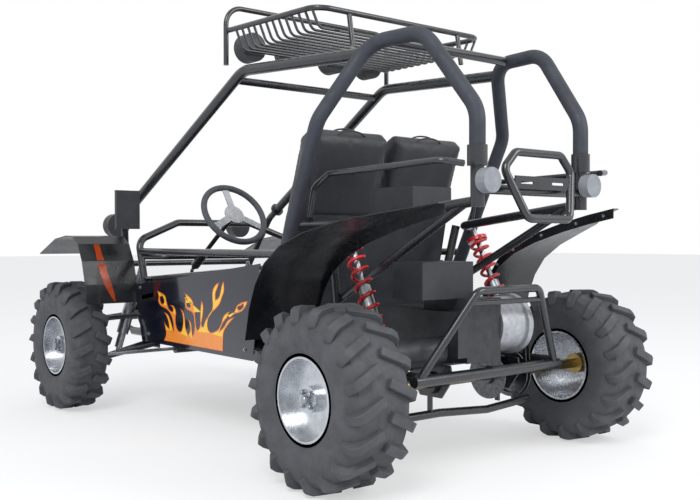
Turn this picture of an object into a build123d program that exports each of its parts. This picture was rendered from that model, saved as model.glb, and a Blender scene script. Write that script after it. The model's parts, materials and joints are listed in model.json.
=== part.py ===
from build123d import *
from math import atan2, cos, degrees, hypot, pi, radians, sin
import os

# Off-road go-kart for two, chain driven, with a roll cage and a roof rack.
# Millimetres, +X forward, +Y left, +Z up, origin on the ground midway between the axles.

# Axles
WHEELBASE = 1825.0
REAR_TRACK = 1186.0
FRONT_TRACK = 1302.0
FRONT_X = WHEELBASE / 2
REAR_X = -WHEELBASE / 2

# Clearances
FIT = 0.3
PIN_GAP = 1.0
RUN_GAP = 6.0

# Wheels
REAR_TYRE_R = 281.0
REAR_TYRE_W = 250.0
REAR_RIM_W = 200.0
FRONT_TYRE_R = 284.0
FRONT_TYRE_W = 184.0
FRONT_RIM_W = 140.0
RIM_R = 138.0
BEAD_R = 127.0
RIM_WALL = 6.0
DISH = 46.0
HUB_R = 40.0

# Rear axle
AXLE_DIA = 34.0
AXLE_HUB_R = 37.0
SPROCKET_Y = -225.0
SPROCKET_R = 78.0
SPROCKET_THICK = 6.0
DISC_Y = -105.0
DISC_R = 82.0
BEARING_Y = 165.0
PINION_X = -938.0
PINION_Z = 476.0
PINION_R = 36.0

# Tube diameters
CAGE_DIA = 50.0
ROOF_DIA = 42.0
MAIN_DIA = 38.0
NOSE_DIA = 32.0
BAR_DIA = 28.0
GUARD_DIA = 26.0
RACK_DIA = 20.0
SLAT_DIA = 10.0

# Sheets and plates
SHEET = 3.0
FENDER_SHEET = 4.0
PLATE = 6.0
PANEL_Y = 456.0

# Lower frame
RAIL_Y = 420.0
RAIL_Z = 330.0
NOSE_Y = 222.0
NOSE_Z = 300.0
NOSE_END_X = 1150.0
PIVOT_X = -500.0
PIVOT_Y = 250.0
SEAT_BAR_X = -60.0
FOOT_BAR_X = 380.0
RACK_BAR_X = 860.0

# Roll cage
B_FOOT = (-335.0, 430.0, 400.0)
B_BEND = (-675.0, 455.0, 1145.0)
HOOP_FRONT = (-770.0, 310.0, 1402.0)
HOOP_REAR = (-1000.0, 285.0, 1402.0)
C_BEND = (-1195.0, 250.0, 1144.0)
C_CLAMP = (-1195.0, 250.0, 1035.0)
CROSS_X = -835.0
ROOF_FRONT = (-77.0, 360.0, 1403.0)
A_FOOT = (790.0, 400.0, 908.0)

# Roof rack
RACK_REAR_X = -606.0
RACK_FRONT_X = -37.0
RACK_HALF = 404.0
RACK_RAIL_Z = 1541.0
RACK_FLOOR_Z = 1478.0
RACK_HOOP_Z = 1650.0
SLAT_COUNT = 13

# Seats
SEAT_Y = 192.0
SEAT_W = 344.0

# Steering and front suspension
WHEEL_CENTRE = (260.0, 190.0, 860.0)
WHEEL_OD = 306.0
WHEEL_GRIP = 26.0
COLUMN_TILT = 34.0
COLUMN_LENGTH = 420.0
KINGPIN_Y = 600.0
KINGPIN_LOW = 207.0
KINGPIN_HIGH = 368.0
STEER_ARM = 72.0
TIE_ROD_Z = 234.0
TIE_ROD_DIA = 16.0
EYE_THICK = 10.0
EYE_HOLE = 22.0
EYE_DIA = 36.0
ARM_DIA = 22.0
SHOCK_SEAT = 0.5

# Nose and tail
NOSE_X = 1265.0
PLATE_X = -1240.0
PLATE_Z = 927.0
PLATE_HALF = 130.0
PLATE_SLOT_PITCH = 150.0
TAIL_X = -1253.0
LAMP_Y = 246.0
LAMP_Z = 928.0

NODES = {}


def put(node, *shapes):
    """Collect the solids of one node."""
    kept = NODES.setdefault(node, [])
    for shape in shapes:
        kept.extend(shape.solids())


def both(shape):
    """A shape and its mirror image on the other side."""
    return Compound([shape, shape.mirror(Plane.XZ)])


def mirrored(point):
    """The same point on the other side."""
    return (point[0], -point[1], point[2])


def mix(a, b, t):
    """Point part way from a to b."""
    return tuple(p + (q - p) * t for p, q in zip(a, b))


def at_height(a, b, z):
    """Point of the line from a to b at one height."""
    return mix(a, b, (z - a[2]) / (b[2] - a[2]))


def rod(start, end, dia):
    """Straight round bar."""
    axis = Vector(*end) - Vector(*start)
    return Solid.make_cylinder(dia / 2, axis.length, Plane(origin=start, z_dir=axis))


def lateral(x, z, y0, y1, dia):
    """Round bar across the kart."""
    return rod((x, y0, z), (x, y1, z), dia)


def tube(dia, bend, *points, grow=0.0):
    """Round tube along straight runs joined by bends of one radius."""
    if len(points) == 2:
        return rod(points[0], points[1], dia + 2 * grow)
    path = FilletPolyline(*points, radius=bend)
    section = Plane(origin=path @ 0, z_dir=path % 0) * Circle(dia / 2 + grow)
    return sweep(section, path=path).solids()[0]


def largest(shape):
    """The biggest solid of what a notch leaves."""
    return max(shape.solids(), key=lambda item: item.volume)


def cope(shape, *runs):
    """Notch a tube round the tubes that it meets."""
    for run in runs:
        shape = shape - tube(*run, grow=FIT)
    return largest(shape)


def other_side(run):
    """A tube's run on the other side."""
    return run[:2] + tuple(mirrored(point) for point in run[2:])


def across(dia, bend, *points):
    """Run of a tube that crosses the kart, from the points of its left half."""
    return (dia, bend) + points + tuple(mirrored(point) for point in reversed(points))


def block(x0, x1, y0, y1, z0, z1):
    """Box between two corners."""
    size = Box(x1 - x0, y1 - y0, z1 - z0)
    return size.locate(Location(((x0 + x1) / 2, (y0 + y1) / 2, (z0 + z1) / 2)))


def plate_xz(points, y0, thick):
    """Flat plate with its outline in X and Z, from y0 towards +Y."""
    face = make_face(Polyline(*[(x, y0, z) for x, z in points], close=True))
    return extrude(face, amount=thick, dir=(0, 1, 0))


def plate_yz(points, x0, thick):
    """Flat plate with its outline in Y and Z, from x0 towards +X."""
    face = make_face(Polyline(*[(x0, y, z) for y, z in points], close=True))
    return extrude(face, amount=thick, dir=(1, 0, 0))


def plate_xy(points, z0, thick):
    """Flat plate with its outline in X and Y, from z0 upwards."""
    face = make_face(Polyline(*[(x, y, z0) for x, y in points], close=True))
    return extrude(face, amount=thick, dir=(0, 0, 1))


def strip(points, thick):
    """Closed outline of a bent sheet, from its upper side in X and Z."""
    lower = []
    for index, (x, z) in enumerate(points):
        before = points[max(index - 1, 0)]
        after = points[min(index + 1, len(points) - 1)]
        run = hypot(after[0] - before[0], after[1] - before[1])
        lower.append((x + thick * (after[1] - before[1]) / run, z - thick * (after[0] - before[0]) / run))
    return list(points) + lower[::-1]


def turned(profile, centre_x, centre_z):
    """Ring about a lateral axis, from (radius, y) points."""
    face = make_face(Polyline(*[(centre_x + r, y, centre_z) for r, y in profile], close=True))
    return revolve(face, Axis((centre_x, 0, centre_z), (0, 1, 0)), 360)


# Wheels
def tyre(x, z, radius, width, rim_width, y):
    """Tyre on its beads, out to the tips of its lugs."""
    half = width / 2
    bead = rim_width / 2 - RIM_WALL - FIT
    side = (
        (BEAD_R + FIT, bead), (RIM_R + FIT, bead), (RIM_R + 10, half - 14), (radius * 0.7, half),
        (radius - 34, half - 2), (radius - 8, half - 20), (radius, half - 52),
    )
    profile = [(r, y - s) for r, s in side] + [(r, y + s) for r, s in reversed(side)]
    return turned(profile, x, z)


def rim(x, z, rim_width, y):
    """Dished rim, its disc set back from the outer lip."""
    lip = rim_width / 2
    half = (
        (BEAD_R, lip - RIM_WALL), (RIM_R, lip - RIM_WALL), (RIM_R, lip), (BEAD_R - RIM_WALL, lip),
    )
    profile = [(r, y - s) for r, s in half] + [(r, y + s) for r, s in reversed(half)]
    barrel = turned(profile, x, z)
    face = y + lip - DISH
    disc = lateral(x, z, face - 5, face + 5, 2 * (BEAD_R - RIM_WALL / 2))
    boss = lateral(x, z, face - 18, face + 26, 2 * HUB_R)
    return barrel + disc + boss


def rear_wheels():
    """Rear wheels and the live axle that turns them."""
    y = REAR_TRACK / 2
    put("rear_tyres", both(tyre(REAR_X, REAR_TYRE_R, REAR_TYRE_R, REAR_TYRE_W, REAR_RIM_W, y)))
    put("rear_rims", both(rim(REAR_X, REAR_TYRE_R, REAR_RIM_W, y)))
    inner = y + REAR_RIM_W / 2 - DISH - 18
    shaft = lateral(REAR_X, REAR_TYRE_R, -inner, inner, AXLE_DIA)
    hub = lateral(REAR_X, REAR_TYRE_R, inner - 40, inner, 2 * AXLE_HUB_R)
    put("axle_shaft", shaft + hub + hub.mirror(Plane.XZ))
    for node, centre, radius, thick in (
        ("sprocket", SPROCKET_Y, SPROCKET_R, SPROCKET_THICK),
        ("brake_disc", DISC_Y, DISC_R, 4.0),
    ):
        ring = lateral(REAR_X, REAR_TYRE_R, centre - thick / 2, centre + thick / 2, 2 * radius)
        boss = lateral(REAR_X, REAR_TYRE_R, centre - 14, centre + 14, 62)
        bore = lateral(REAR_X, REAR_TYRE_R, centre - 20, centre + 20, AXLE_DIA)
        put(node, ring + boss - bore)


def knuckle():
    """Left knuckle: upright, spindle and steering arm with its pin."""
    spindle_end = FRONT_TRACK / 2 + FRONT_RIM_W / 2 - DISH
    pin = (FRONT_X - STEER_ARM, KINGPIN_Y)
    arm_low = TIE_ROD_Z + EYE_THICK / 2 + RUN_GAP
    upright = rod((FRONT_X, KINGPIN_Y, KINGPIN_LOW), (FRONT_X, KINGPIN_Y, KINGPIN_HIGH), 30)
    spindle = lateral(FRONT_X, FRONT_TYRE_R, KINGPIN_Y, spindle_end, 22)
    arm = block(pin[0], FRONT_X, KINGPIN_Y - 11, KINGPIN_Y + 11, arm_low, arm_low + 12)
    eye = rod((*pin, arm_low), (*pin, arm_low + 12), 22)
    stud = rod((*pin, TIE_ROD_Z - EYE_THICK), (*pin, arm_low), 8)
    return upright + spindle + arm + eye + stud


def front_wheels():
    """Front wheels, and the knuckles that carry them."""
    y = FRONT_TRACK / 2
    rubber = tyre(FRONT_X, FRONT_TYRE_R, FRONT_TYRE_R, FRONT_TYRE_W, FRONT_RIM_W, y)
    wheel = rim(FRONT_X, FRONT_TYRE_R, FRONT_RIM_W, y)
    face = y + FRONT_RIM_W / 2 - DISH
    drum = lateral(FRONT_X, FRONT_TYRE_R, face - 30, face - 5, 66)
    bore = lateral(FRONT_X, FRONT_TYRE_R, face - 60, face + PIN_GAP, 22 + 2 * PIN_GAP)
    wheel = wheel + drum - bore
    for node, shape in (("front_tyre", rubber), ("front_rim", wheel), ("knuckle", knuckle())):
        put(f"{node}_left", shape)
        put(f"{node}_right", shape.mirror(Plane.XZ))


# Runs of the frame's tubes, also used to notch what meets them
RAIL = (MAIN_DIA, 120.0, (PIVOT_X, PIVOT_Y, NOSE_Z), (-330.0, RAIL_Y, RAIL_Z),
        (600.0, RAIL_Y, RAIL_Z), (780.0, NOSE_Y, NOSE_Z), (NOSE_END_X, NOSE_Y, NOSE_Z))
RAIL_R = other_side(RAIL)
PIVOT_BAR = (MAIN_DIA, 0, (PIVOT_X, -PIVOT_Y - 40, NOSE_Z), (PIVOT_X, PIVOT_Y + 40, NOSE_Z))
HOOP = (CAGE_DIA, 110.0, B_FOOT, B_BEND, HOOP_FRONT, HOOP_REAR, C_BEND, C_CLAMP)
HOOP_R = other_side(HOOP)
PILLAR = (ROOF_DIA, 130.0, mix(B_BEND, HOOP_FRONT, 0.86), ROOF_FRONT, A_FOOT)
PILLAR_R = other_side(PILLAR)
FLANGE = 8.0
NOSE_TUBE = (NOSE_DIA, 70.0, mix(ROOF_FRONT, A_FOOT, 1 + FLANGE / 999), mix(ROOF_FRONT, A_FOOT, 1.09),
             (1000.0, 330.0, 560.0), (1010.0, NOSE_Y, NOSE_Z))
NOSE_TUBE_R = other_side(NOSE_TUBE)
DASH = across(NOSE_DIA, 60.0, (590.0, 405.0, RAIL_Z), (700.0, 415.0, 750.0), (735.0, 200.0, 832.0))
KNEE_Z = 677.0
KNEE_END = at_height(DASH[2], DASH[3], KNEE_Z)
KNEE = across(25.0, 50.0, KNEE_END, (595.0, 330.0, KNEE_Z))
DOOR_Z = 702.0
DOOR_BAR = (BAR_DIA, 0, at_height(DASH[2], DASH[3], DOOR_Z), at_height(B_FOOT, B_BEND, DOOR_Z))
SILL_BAR = (BAR_DIA, 0, at_height(DASH[2], DASH[3], 575.0), at_height(B_FOOT, B_BEND, 655.0))
TOWER_Z = 640.0
TOWER_END = at_height(NOSE_TUBE[3], NOSE_TUBE[4], TOWER_Z)
TOWER_BAR = (BAR_DIA, 0, mirrored(TOWER_END), TOWER_END)


BUMPER = across(GUARD_DIA, 60.0, (NOSE_END_X - 10, NOSE_Y, NOSE_Z), (NOSE_X, NOSE_Y, NOSE_Z + 30),
                (NOSE_X, NOSE_Y - 30, 470.0))


def lower_frame():
    """Floor rails, cross bars and the pivot bar of the rear arm."""
    put("lower_rails", both(cope(tube(*RAIL), PIVOT_BAR)))
    put("cross_bars", tube(*PIVOT_BAR))
    for x, y, z in ((SEAT_BAR_X, RAIL_Y, RAIL_Z), (FOOT_BAR_X, RAIL_Y, RAIL_Z),
                    (RACK_BAR_X, NOSE_Y, NOSE_Z), (NOSE_END_X - 20, NOSE_Y, NOSE_Z)):
        put("cross_bars", cope(lateral(x, z, -y, y, NOSE_DIA), RAIL, RAIL_R))
    top = RAIL_Z + MAIN_DIA / 2 + FIT
    floor = ((-400, 330), (-300, 400), (560, 400), (700, 300), (700, -300), (560, -400), (-300, -400), (-400, -330))
    put("floor_pan", plate_xy(floor, top, SHEET))


def cage():
    """Padded side hoops, roof rails with the front pillars, and cross tubes."""
    put("side_hoops", both(cope(tube(*HOOP), RAIL)))
    pillar = cope(tube(*PILLAR), HOOP)
    flange = rod(A_FOOT, NOSE_TUBE[2], 66)
    put("front_pillars", both(pillar + flange))
    y = mix(HOOP_FRONT, HOOP_REAR, (CROSS_X - HOOP_FRONT[0]) / (HOOP_REAR[0] - HOOP_FRONT[0]))[1]
    put("front_pillars", cope(lateral(CROSS_X, HOOP_FRONT[2], -y, y, 32), HOOP, HOOP_R))
    front = mix(ROOF_FRONT, A_FOOT, 0.06)
    put("front_pillars", cope(rod(mirrored(front), front, 30), PILLAR, PILLAR_R))


def nose_frame():
    """Tubes ahead of the dash, the dash hoop and the side bars."""
    nose = cope(tube(*NOSE_TUBE), RAIL)
    put("nose_frame", both(nose))
    put("nose_frame", cope(tube(*TOWER_BAR), NOSE_TUBE, NOSE_TUBE_R))
    put("nose_frame", cope(tube(*BUMPER), RAIL, RAIL_R))
    put("nose_frame", cope(lateral(NOSE_X, NOSE_Z + 60, -NOSE_Y, NOSE_Y, BAR_DIA), BUMPER))
    put("dash_frame", cope(tube(*DASH), RAIL, RAIL_R))
    put("dash_frame", cope(tube(*KNEE), DASH))
    put("side_bars", both(cope(tube(*DOOR_BAR), DASH, HOOP)))
    put("side_bars", both(cope(tube(*SILL_BAR), DASH, HOOP)))


POST = (ROOF_DIA, 0, C_CLAMP, (C_CLAMP[0], C_CLAMP[1], 850.0))
REAR_RAIL = (NOSE_DIA, 60.0, at_height(B_FOOT, B_BEND, 800.0), (-610.0, 300.0, 806.0), (-1195.0, 250.0, 868.0))
REAR_RAIL_R = other_side(REAR_RAIL)
UPRIGHT = (NOSE_DIA, 60.0, (PIVOT_X, 215.0, NOSE_Z), (-560.0, 312.0, 806.0))
DIAGONAL = (BAR_DIA, 60.0, (-1150.0, 254.0, 863.0), (-527.0, 240.0, 540.0))


def rear_frame():
    """Rear rails, uprights, diagonals and posts under the cage."""
    clamp = rod(C_CLAMP, (C_CLAMP[0], C_CLAMP[1], C_CLAMP[2] - 62), 62)
    put("rear_frame", both(tube(*POST) + clamp))
    cross = lateral(C_CLAMP[0], 905, -C_CLAMP[1], C_CLAMP[1], NOSE_DIA)
    put("rear_frame", cope(cross, POST, other_side(POST)))
    put("rear_frame", both(cope(tube(*REAR_RAIL), HOOP, POST)))
    put("rear_frame", both(cope(tube(*UPRIGHT), PIVOT_BAR, REAR_RAIL)))
    put("rear_frame", both(cope(tube(*DIAGONAL), REAR_RAIL, UPRIGHT)))


SWING_Z = 322.0
SWING_REAR_X = -1024.0
SWING_Y = 330.0
SWING_ARM = (34.0, 90.0, (PIVOT_X, 150.0, NOSE_Z), (-690.0, SWING_Y, SWING_Z), (SWING_REAR_X, SWING_Y, SWING_Z))
SWING_TAIL = (MAIN_DIA, 0, (SWING_REAR_X, -SWING_Y - 20, 312.0), (SWING_REAR_X, SWING_Y + 20, 312.0))
SWING_MID = (NOSE_DIA, 0, (-790.0, -SWING_Y, SWING_Z), (-790.0, SWING_Y, SWING_Z))


def rear_arm():
    """Rear arm with the axle's bearing plates, and the guard under the sprocket."""
    put("rear_arm", both(cope(tube(*SWING_ARM), PIVOT_BAR, SWING_TAIL)))
    put("rear_arm", tube(*SWING_TAIL))
    put("rear_arm", cope(tube(*SWING_MID), SWING_ARM, other_side(SWING_ARM)))
    outline = ((-1000, 345), (-800, 345), (-800, 322), (-860, 235), (-960, 235), (-1010, 300))
    carrier = plate_xz(outline, BEARING_Y - PLATE / 2, PLATE)
    carrier = carrier + lateral(REAR_X, REAR_TYRE_R, BEARING_Y - 18, BEARING_Y + 18, 72)
    carrier = carrier - lateral(REAR_X, REAR_TYRE_R, 0, 400, AXLE_DIA + 2 * PIN_GAP)
    put("axle_carriers", both(cope(carrier, SWING_TAIL, SWING_MID)))
    skid = (BAR_DIA, 40.0, (-905.0, 300.0, 175.0), (-905.0, 120.0, 175.0), (-905.0, -110.0, 160.0),
            (-905.0, -330.0, 175.0))
    put("axle_carriers", tube(*skid))
    for y in (BEARING_Y, -BEARING_Y):
        put("axle_carriers", cope(block(-915, -895, y - 3, y + 3, 185, 235), skid))


def guard():
    """Bent bar with a cross bar behind the engine."""
    foot = (SWING_REAR_X, SWING_Y, 312.0)
    top = (-1103.0, 149.0, 590.0)
    hoop = across(GUARD_DIA, 40.0, foot, top)
    low = mix(foot, top, 0.86)
    put("engine_guard", cope(tube(*hoop), SWING_TAIL, SWING_ARM, other_side(SWING_ARM)) + cope(rod(mirrored(low), low, 18), hoop))


def engine():
    """Engine, its drum, covers, muffler, air box and chain."""
    case = block(-1040, -840, -30, 130, 352, 560)
    head = block(-840, -640, -10, 120, 400, 520)
    put("engine_case", case + head)
    drum = lateral(-958, 462, -150, -30, 188) + lateral(-958, 462, -172, -150, 208)
    pinion = lateral(PINION_X, PINION_Z, SPROCKET_Y - 3, -172, 2 * (PINION_R - 9))
    put("engine_drum", drum + pinion)
    put("drive_cover", block(-1040, -660, 130, 172, 372, 520))
    put("muffler", lateral(-960, 392, 182, 420, 92))
    put("air_box", block(-1000, -860, 60, 290, 561, 680))
    outer = 7.0
    for y in (SPROCKET_Y - 11, SPROCKET_Y + 8):
        put("chain", chain_loop(y, 3.0, outer))


def chain_loop(y, thick, width):
    """Band round the two sprockets."""
    centres = ((REAR_X, REAR_TYRE_R), (PINION_X, PINION_Z))
    radii = (SPROCKET_R, PINION_R)
    shapes = []
    for grow in (width, -width):
        shapes.append(belt(centres, radii, grow, y, thick))
    return shapes[0] - shapes[1]


def belt(centres, radii, grow, y, thick):
    """Solid inside the open belt round two circles."""
    (x0, z0), (x1, z1) = centres
    r0, r1 = (r + grow for r in radii)
    run = hypot(x1 - x0, z1 - z0)
    lean = atan2(z1 - z0, x1 - x0)
    spread = pi / 2 - asin_ratio(r0 - r1, run)
    ends = []
    for side in (1, -1):
        angle = lean + side * spread
        ends.append(((x0 + r0 * cos(angle), z0 + r0 * sin(angle)), (x1 + r1 * cos(angle), z1 + r1 * sin(angle))))
    quad = (ends[0][0], ends[0][1], ends[1][1], ends[1][0])
    body = plate_xz(quad, y, thick)
    return body + lateral(x0, z0, y, y + thick, 2 * r0) + lateral(x1, z1, y, y + thick, 2 * r1)


def asin_ratio(rise, run):
    """Angle whose sine is rise over run."""
    return atan2(rise, hypot(run, 0) if run == 0 else (run * run - rise * rise) ** 0.5)


def rear_shocks():
    """Coil-over shocks from the rear rails to the rear arm."""
    top = (-648.0, 312.0, 800.0)
    foot = (-868.0, SWING_Y - 8, 345.0)
    body = rod(mix(foot, top, 0.02), mix(foot, top, 0.55), 44) + rod(mix(foot, top, 0.5), mix(foot, top, 0.98), 20)
    put("rear_shocks", both(cope(body, SWING_ARM, REAR_RAIL)))
    spring = rod(mix(foot, top, 0.16), mix(foot, top, 0.88), 73) - rod(foot, top, 54)
    put("rear_springs", both(spring))
    for t in (0.13, 0.88):
        seat = rod(mix(foot, top, t), mix(foot, top, t + 0.03), 76) - rod(foot, top, 44 + 2 * FIT)
        put("rear_springs", both(seat))


def seats():
    """Two bucket seats."""
    for y in (SEAT_Y, -SEAT_Y):
        side = Polyline((-290, 0, 450), (-350, 0, 520), (-545, 0, 1120), (-510, 0, 1152),
                        (-450, 0, 1120), (-260, 0, 580), (60, 0, 500), (120, 0, 520),
                        (140, 0, 480), (100, 0, 430), (-240, 0, 430), close=True)
        body = extrude(make_face(side), amount=SEAT_W / 2, dir=(0, 1, 0), both=True)
        put("seats", body.locate(Location((0, y, 0))))
    for x in (-200.0, 40.0):
        put("cross_bars", block(x - 15, x + 15, -370, 370, RAIL_Z + MAIN_DIA / 2 + SHEET + FIT, 430))


COLUMN_AXIS = (cos(radians(COLUMN_TILT)), 0.0, -sin(radians(COLUMN_TILT)))


def on_column(distance, lift=0.0):
    """Point at a distance down the steering column, lifted at right angles to it."""
    up = (sin(radians(COLUMN_TILT)), 0.0, cos(radians(COLUMN_TILT)))
    return tuple(c + a * distance + u * lift for c, a, u in zip(WHEEL_CENTRE, COLUMN_AXIS, up))


LINK_TOP = on_column(COLUMN_LENGTH + 14)
LINK_FOOT = (FRONT_X - STEER_ARM - 6, 130.0, 262.0)


def steering():
    """Wheel, column, joint shaft, rack housing and tie rods."""
    plane = Plane(origin=WHEEL_CENTRE, z_dir=COLUMN_AXIS, x_dir=(0, 1, 0))
    grip = Solid.make_torus((WHEEL_OD - WHEEL_GRIP) / 2, WHEEL_GRIP / 2, plane)
    put("steering_wheel", grip)
    reach = (WHEEL_OD - WHEEL_GRIP) / 2
    plate = Cylinder(45, 5)
    for angle in (90, 210, 330):
        spoke = Box(reach - 6, 30, 5).locate(Location(((reach - 6) / 2, 0, 0)))
        plate = plate + spoke.rotate(Axis.Z, angle)
    plate = plane.from_local_coords(plate) - Solid.make_torus(reach, WHEEL_GRIP / 2, plane)
    put("steering_spokes", plate)
    shaft = rod(on_column(2.5), on_column(COLUMN_LENGTH), 20) + rod(on_column(2.5), on_column(30), 44)
    put("steering_shaft", shaft)
    housing = rod(on_column(300), on_column(400), 40) - rod(on_column(280), on_column(420), 20 + 2 * PIN_GAP)
    put("dash_frame", cope(housing, KNEE))
    link = rod(LINK_TOP, LINK_FOOT, 16)
    put("steering_link", link)
    rack_x = FRONT_X - STEER_ARM
    body = lateral(rack_x, TIE_ROD_Z, -160, 160, 44)
    tower = rod((rack_x - 6, 130, TIE_ROD_Z), mix(LINK_FOOT, LINK_TOP, 0.06), 34)
    saddle = block(rack_x - 8, RACK_BAR_X + 8, -90, -70, TIE_ROD_Z, NOSE_Z)
    saddle = saddle + saddle.mirror(Plane.XZ)
    bar = (NOSE_DIA, 0, (RACK_BAR_X, -200, NOSE_Z), (RACK_BAR_X, 200, NOSE_Z))
    bore = lateral(rack_x, TIE_ROD_Z, -200, 200, TIE_ROD_DIA + 2 * PIN_GAP)
    socket = rod(LINK_FOOT, LINK_TOP, 16 + 2 * PIN_GAP)
    put("rack_housing", cope(body + tower + saddle, bar) - bore - socket)
    rack = lateral(rack_x, TIE_ROD_Z, -KINGPIN_Y + 15, KINGPIN_Y - 15, TIE_ROD_DIA)
    eye_low = TIE_ROD_Z - EYE_THICK / 2
    ring = rod((rack_x, KINGPIN_Y, eye_low), (rack_x, KINGPIN_Y, eye_low + EYE_THICK), EYE_DIA)
    hole = rod((rack_x, KINGPIN_Y, eye_low - 9), (rack_x, KINGPIN_Y, eye_low + EYE_THICK + 9), EYE_HOLE)
    ends = both(ring)
    holes = both(hole)
    put("tie_rods", rack + ends - holes)


def front_suspension():
    """Wishbones on their towers, and the front shocks."""
    tower_y = NOSE_Y + 20
    for pivot_z, knuckle_z, side, pivots in (
        (262.0, KINGPIN_LOW, -1, (866.0, 962.0)),
        (410.0, KINGPIN_HIGH, 1, (840.0, 972.0)),
    ):
        out = (FRONT_X, KINGPIN_Y, knuckle_z + side * 16)
        wall = block(pivots[0] - 40, pivots[1] + 40, tower_y - 30, tower_y + PLATE + FIT, 180, 480)
        legs = [rod((x, tower_y, pivot_z), out, ARM_DIA) for x in pivots]
        ball = rod((FRONT_X, KINGPIN_Y, knuckle_z + side * FIT), (FRONT_X, KINGPIN_Y, knuckle_z + side * 28), 36)
        clear = rod((FRONT_X, KINGPIN_Y, knuckle_z - side * 40), (FRONT_X, KINGPIN_Y, knuckle_z + side * FIT), 60)
        arm = legs[0] + legs[1] + ball - clear - wall
        if side < 0:
            ends = [mix((x, tower_y, pivot_z), out, SHOCK_SEAT) for x in pivots]
            arm = arm + rod(ends[0], ends[1], 18)
        put("front_arms", both(arm))
    outline = ((832, 244), (978, 244), (978, 428), (832, 428))
    put("nose_frame", both(cope(plate_xz(outline, tower_y, PLATE), RAIL)))
    seat = mix((FRONT_X, tower_y, 262.0), (FRONT_X, KINGPIN_Y, KINGPIN_LOW - 16), SHOCK_SEAT)
    foot = (seat[0], seat[1], seat[2] + 9 + FIT)
    top = (TOWER_END[0] - 55.0, 296.0, TOWER_Z)
    damper = rod(mix(foot, top, 0.04), mix(foot, top, 0.6), 36) + rod(foot, top, 18)
    put("front_shocks", both(damper - rod(foot, (foot[0], foot[1], 0), 40)))
    spring = rod(mix(foot, top, 0.2), mix(foot, top, 0.86), 54) - rod(foot, top, 38)
    put("front_shocks", both(spring))

def fender_band(points, y0, y1):
    """Bent sheet across from y0 to y1."""
    return plate_xz(strip(points, FENDER_SHEET), y0, y1 - y0)


def bodywork():
    """Side panels, fenders and the firewall."""
    panel = ((655, 555), (-341, 667), (-290, 313), (582, 314))
    plate = plate_xz(panel, PANEL_Y, SHEET)
    for x, z, inner, run in ((-200, RAIL_Z, RAIL_Y, RAIL), (500, RAIL_Z, RAIL_Y, RAIL),
                             (-250, 640, 400, SILL_BAR), (560, 582, 400, SILL_BAR)):
        z = z if run is RAIL else mix(SILL_BAR[2], SILL_BAR[3], (SILL_BAR[2][0] - x) / (SILL_BAR[2][0] - SILL_BAR[3][0]))[2]
        plate = plate + cope(lateral(x, z, inner, PANEL_Y, 18), run)
    put("side_panels", both(plate))
    arch = ((650, 478), (668, 560), (700, 660), (745, 735), (800, 768), (880, 772), (1000, 758), (1187, 690))
    put("front_fenders", both(fender_band(arch, 440, 680)))
    top = ((-400, 471), (-410, 542), (-425, 600), (-460, 675), (-520, 728), (-600, 775), (-700, 809),
           (-875, 834), (-1060, 853), (-1250, 881))
    low = ((-1169, 865), (-1059, 793), (-984, 724), (-916, 667), (-846, 586), (-773, 540), (-600, 500))
    put("rear_fenders", both(plate_xz(top + low, 470, FENDER_SHEET)))
    base = RAIL_Z + MAIN_DIA / 2 + FIT + SHEET
    lean = ((-385, base), (-388, base), (-491, 840), (-488, 840))
    put("firewall", plate_xz(lean, -330, 660))


def roof_rack():
    """Rack rail, front hoop, posts, slats and lamps."""
    rail = across(RACK_DIA, 60.0, (RACK_FRONT_X - 12, RACK_HALF, RACK_RAIL_Z + 16),
                  (RACK_REAR_X, RACK_HALF, RACK_RAIL_Z))
    hoop = across(RACK_DIA, 70.0, (RACK_FRONT_X, 411.0, 1424.0), (RACK_FRONT_X, 411.0, RACK_HOOP_Z))
    put("roof_rack", tube(*rail))
    put("roof_rack", cope(tube(*hoop), rail))
    posts = rod((-630, 267, 1420), (-610, 267, 1532), 18)
    put("roof_rack", both(cope(posts, rail)))
    step = (RACK_FRONT_X - 60 - RACK_REAR_X - 30) / (SLAT_COUNT - 1)
    for index in range(SLAT_COUNT):
        x = RACK_REAR_X + 30 + index * step
        z = RACK_RAIL_Z + (x - RACK_REAR_X) * 16 / (RACK_FRONT_X - RACK_REAR_X)
        slat = across(SLAT_DIA, 30.0, (x, RACK_HALF, z), (x, 372.0, RACK_FLOOR_Z))
        put("rack_slats", cope(tube(*slat), rail))
    for y in (310.0, 120.0, -95.0, -290.0):
        put("roof_lamps", rod((-20, y, 1500), (-80, y, 1500), 112))


TAIL_LOOP = (GUARD_DIA, 30.0, (-1265.0, 0.0, 815.0), (-1265.0, 101.0, 815.0), (-1222.0, 162.0, 968.0),
             (-1222.0, 109.0, 1021.0), (-1222.0, 0.0, 1021.0))


def racks():
    """Side racks behind the cab, tail hoop and tail lamps."""
    outer = (RACK_DIA, 30.0, (-560.0, 400.0, 830.0), (-585.0, 400.0, 931.0), (-665.0, 400.0, 972.0),
             (-1190.0, 400.0, 982.0), (-1215.0, 330.0, 975.0))
    put("rear_rack", both(tube(*outer)))
    put("rear_rack", both(tube(*TAIL_LOOP)))
    put("tail_lamps", both(rod((-1217, LAMP_Y, LAMP_Z), (-1253, LAMP_Y, LAMP_Z), 76)))


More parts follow.
